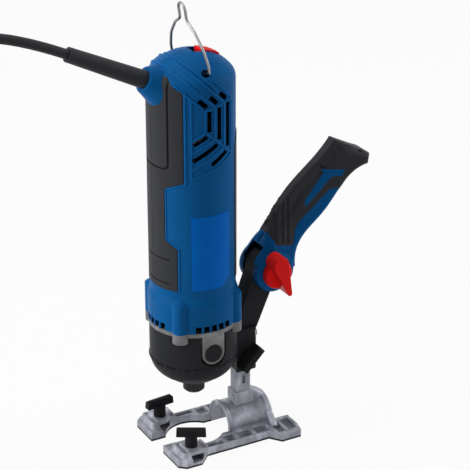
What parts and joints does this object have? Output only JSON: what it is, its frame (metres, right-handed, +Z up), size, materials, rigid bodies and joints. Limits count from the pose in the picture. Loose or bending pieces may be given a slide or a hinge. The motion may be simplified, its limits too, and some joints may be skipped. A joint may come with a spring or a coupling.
{
  "type": "rotary cutting tool",
  "caption": "Upright hand-held rotary cutter with a swinging auxiliary handle, a spindle lock, a hanging bail and a sliding depth foot with open prongs.",
  "frame": {"origin": "centre of the collet's mouth, on the spindle axis", "axes": "+Z up the spindle axis to the roof, +X towards the auxiliary handle, -Y towards the label and the lock button"},
  "size_m": [0.407, 0.1128, 0.3403],
  "materials": {
    "blue_shell": "satin moulded blue",
    "soft_grip": "soft matt black",
    "black_plastic": "satin moulded black",
    "label": "smooth bright blue",
    "red_plastic": "smooth red",
    "cast_aluminium": "fine cast grain",
    "shield_metal": "rough cast",
    "steel": "turned",
    "dark_steel": "blackened",
    "lamination": "stacked sheets",
    "copper": "varnished wire",
    "carbon": "dull carbon",
    "brass": "plain",
    "switch_plastic": "plain",
    "capacitor_case": "plain",
    "cord_jacket": "matt jacket"
  },
  "bodies": {
    "tool": {"housing_right": "blue_shell", "housing_left": "blue_shell", "front_grip_right": "soft_grip", "front_grip_left": "soft_grip", "rear_grip_right": "soft_grip", "rear_grip_left": "soft_grip", "label_plate": "label", "housing_screws": "dark_steel", "end_shield": "shield_metal", "shield_screws": "dark_steel", "air_baffle": "black_plastic", "nose_guard": "black_plastic", "guide_bracket": "black_plastic", "bracket_screws": "dark_steel", "stator_core": "lamination", "field_coils": "copper", "brush_holders": "brass", "carbon_brushes": "carbon", "brush_springs": "steel", "front_bearing_outer": "steel", "rear_bearing_outer": "steel", "rear_bearing_sleeve": "soft_grip", "switch_module": "switch_plastic", "capacitor": "capacitor_case", "cord_clamp": "black_plastic", "cord_clamp_screws": "steel", "cord_boot": "soft_grip", "cord_tail": "cord_jacket", "supply_cord": "cord_jacket", "cord_coil": "cord_jacket", "cord_tie": "black_plastic", "plug_body": "black_plastic", "plug_pins": "brass", "lock_spring": "steel"},
    "spindle": {"spindle": "steel", "armature_core": "lamination", "armature_windings": "copper", "commutator": "copper", "fan": "black_plastic", "front_bearing_inner": "steel", "rear_bearing_inner": "steel", "lock_ring": "steel", "collet": "steel"},
    "nut": {"collet_nut": "dark_steel"},
    "lock": {"lock_button": "black_plastic"},
    "switch": {"switch_slider": "red_plastic"},
    "bail": {"hanger_bail": "steel"},
    "handle": {"handle_right": "blue_shell", "handle_left": "blue_shell", "handle_grip": "soft_grip", "handle_bolt": "dark_steel", "handle_screws": "dark_steel"},
    "handle_knob": {"handle_knob": "red_plastic"},
    "foot": {"depth_foot": "cast_aluminium", "sole_pads": "black_plastic"},
    "depth_knob": {"depth_knob": "black_plastic"},
    "wing_right": {"wing_screw_right": "black_plastic"},
    "wing_left": {"wing_screw_left": "black_plastic"}
  },
  "joints": [
    {"name": "spindle_spin", "type": "hinge", "parent": "tool", "child": "spindle", "pos_m": [0, 0, 0.0535], "axis": [0, 0, 1], "continuous": true},
    {"name": "nut_turn", "type": "hinge", "parent": "spindle", "child": "nut", "pos_m": [0, 0, 0.006], "axis": [0, 0, 1], "range_deg": [0, 180]},
    {"name": "lock_press", "type": "slide", "parent": "tool", "child": "lock", "axis": [0, 1, 0], "range_m": [0, 0.003], "stiffness_N_per_m": 600, "springref_m": -0.003, "deforming": ["lock_spring"]},
    {"name": "switch_slide", "type": "slide", "parent": "tool", "child": "switch", "axis": [1, 0, 0], "range_m": [-0.005, 0]},
    {"name": "bail_swing", "type": "hinge", "parent": "tool", "child": "bail", "pos_m": [0, 0, 0.2543], "axis": [0, 1, 0], "range_deg": [-60, 65]},
    {"name": "handle_swing", "type": "hinge", "parent": "tool", "child": "handle", "pos_m": [0.061, 0, 0.0867], "axis": [0, 1, 0], "range_deg": [-15, 50]},
    {"name": "handle_knob_turn", "type": "hinge", "parent": "handle", "child": "handle_knob", "pos_m": [0.061, 0, 0.0867], "axis": [0, 1, 0], "range_deg": [0, 180]},
    {"name": "foot_slide", "type": "slide", "parent": "tool", "child": "foot", "axis": [0, 0, 1], "range_m": [-0.012, 0.014]},
    {"name": "depth_knob_turn", "type": "hinge", "parent": "tool", "child": "depth_knob", "pos_m": [0.0393, 0, 0.0223], "axis": [0, 1, 0], "range_deg": [0, 180]},
    {"name": "wing_right_turn", "type": "hinge", "parent": "foot", "child": "wing_right", "pos_m": [-0.016, -0.0255, -0.031], "axis": [0, 0, 1], "range_deg": [0, 180]},
    {"name": "wing_left_turn", "type": "hinge", "parent": "foot", "child": "wing_left", "pos_m": [-0.016, 0.0255, -0.031], "axis": [0, 0, 1], "range_deg": [-180, 0]}
  ]
}
